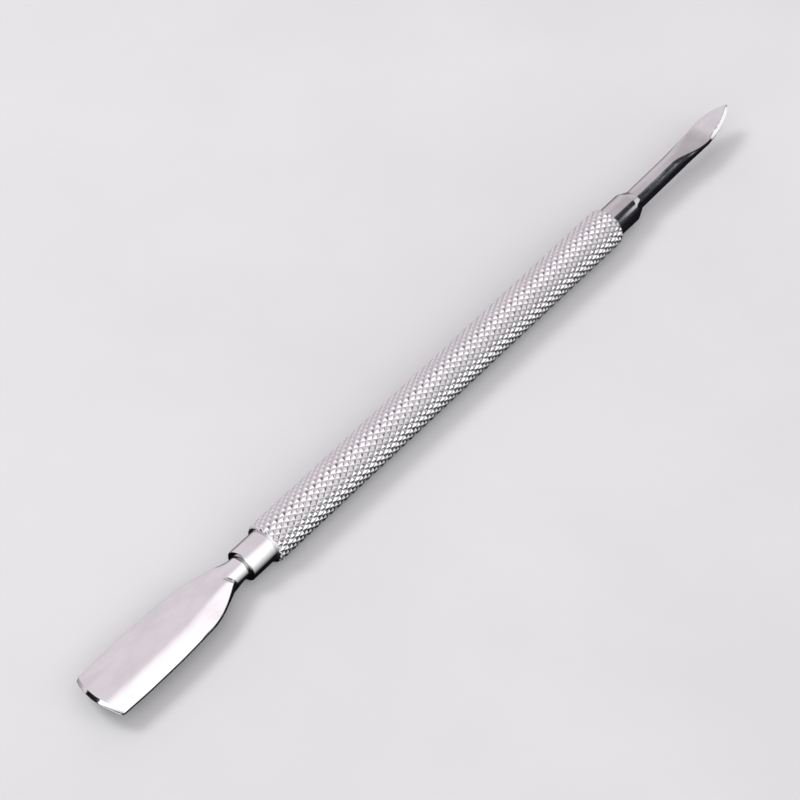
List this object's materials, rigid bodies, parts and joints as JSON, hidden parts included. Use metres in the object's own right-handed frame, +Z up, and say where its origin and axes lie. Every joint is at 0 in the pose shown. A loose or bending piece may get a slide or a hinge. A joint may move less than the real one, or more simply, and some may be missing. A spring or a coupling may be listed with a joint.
{
  "type": "cuticle pusher",
  "caption": "Double-ended steel cuticle pusher: arched pusher blade and small leaf-shaped knife on a knurled round grip.",
  "frame": {"origin": "centre of the knurled grip, on its axis", "axes": "+X along the tool's axis towards the knife, +Z up, out of the rounded back of the pusher blade and the flat of the knife; +Y completes a right-handed frame"},
  "size_m": [0.1338, 0.0082, 0.006],
  "materials": {
    "knurled_steel": "bright satin, diamond knurl with polished crests",
    "collar_steel": "polished, with faint turning marks round the axis",
    "blade_steel": "mirror polished, with faint lengthwise polishing lines"
  },
  "bodies": {
    "root": {"grip_tube": "knurled_steel", "pusher_collar": "collar_steel", "pusher_blade": "blade_steel", "knife_collar": "collar_steel", "knife_blade": "blade_steel"}
  },
  "joints": []
}
